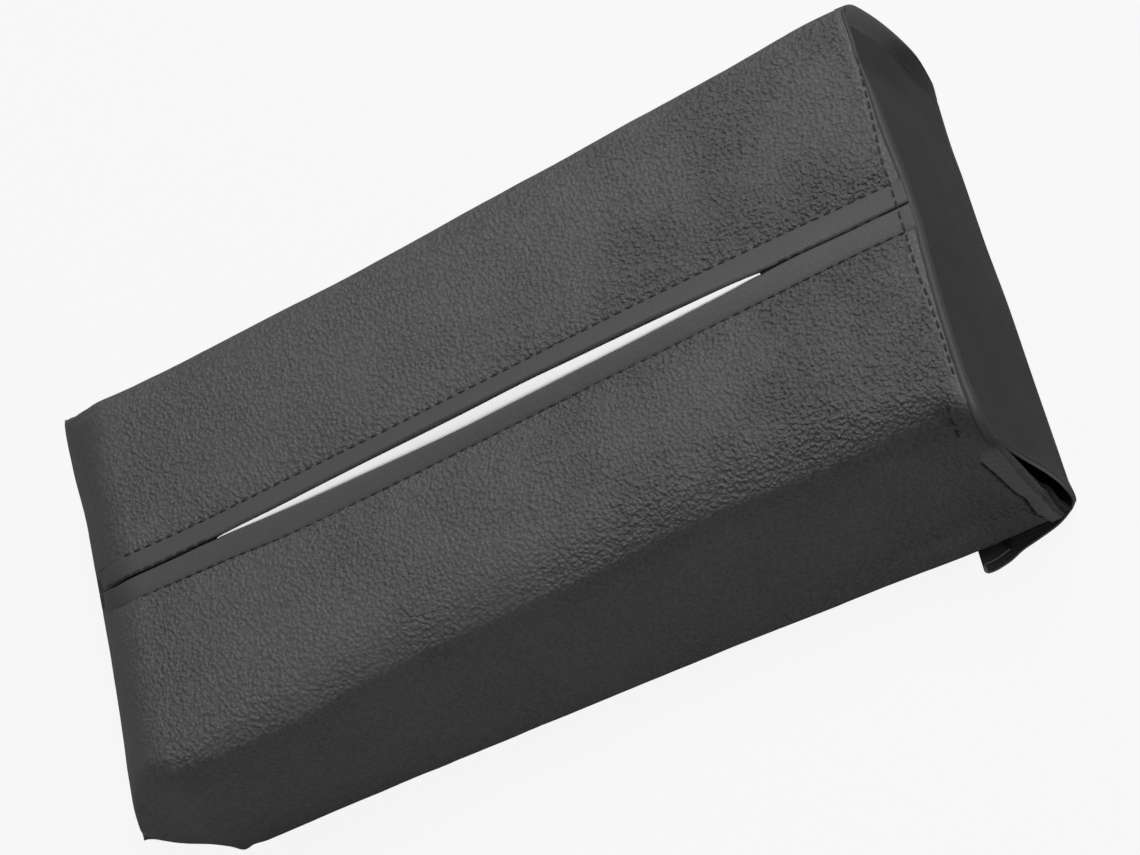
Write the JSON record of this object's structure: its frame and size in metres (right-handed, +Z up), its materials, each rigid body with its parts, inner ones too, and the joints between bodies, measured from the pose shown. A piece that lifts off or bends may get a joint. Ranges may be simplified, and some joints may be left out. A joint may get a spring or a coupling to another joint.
{
  "type": "car tissue holder",
  "caption": "Soft black leatherette car tissue case with a slit lid, an end flap that tucks under the base, and elastic straps beneath.",
  "frame": {"origin": "on the floor, under the middle of the case's length and width", "axes": "+X along the case to the loading mouth and its end flap, +Z up through the slit in the lid, front wall at -Y"},
  "size_m": [0.2422, 0.1298, 0.0533],
  "materials": {
    "leather": "pebbled satin",
    "smooth": "smooth satin",
    "thread": "matt",
    "lining": "matt",
    "fastener": "matt pile",
    "elastic": "matt weave",
    "board": "matt",
    "tissue": "soft paper"
  },
  "bodies": {
    "case": {"front_panel": "leather", "back_panel": "leather", "base_panel": "leather", "slit_band_front": "smooth", "slit_band_back": "smooth", "lid_piping": "smooth", "front_hem_strip": "smooth", "back_hem_strip": "smooth", "slit_stitch_front": "thread", "slit_stitch_back": "thread", "seam_stitch_left": "thread", "seam_stitch_right": "thread", "lid_hem_stitch": "thread", "front_hem_stitch": "thread", "back_hem_stitch": "thread", "base_board": "board", "loop_strip": "fastener", "left_strap": "elastic", "right_strap": "elastic", "tissue_stack": "tissue", "upper_tissues_front": "tissue", "upper_tissues_back": "tissue"},
    "end_flap": {"end_flap_panel": "smooth", "end_flap_lining": "lining"},
    "tuck_flap": {"tuck_flap_panel": "smooth", "hook_strip": "fastener"},
    "top_tissue": {"top_tissue": "tissue"}
  },
  "joints": [
    {"name": "end_flap_hinge", "type": "hinge", "parent": "case", "child": "end_flap", "pos_m": [0.11601, 0, 0.0512], "axis": [0, -1, 0], "range_deg": [0, 135]},
    {"name": "tuck_flap_fold", "type": "hinge", "parent": "end_flap", "child": "tuck_flap", "pos_m": [0.12035, 0, 0.0006], "axis": [0, -1, 0], "range_deg": [0, 90]},
    {"name": "tissue_pull", "type": "slide", "parent": "case", "child": "top_tissue", "axis": [0, 0, 1], "range_m": [0, 0.022]}
  ]
}
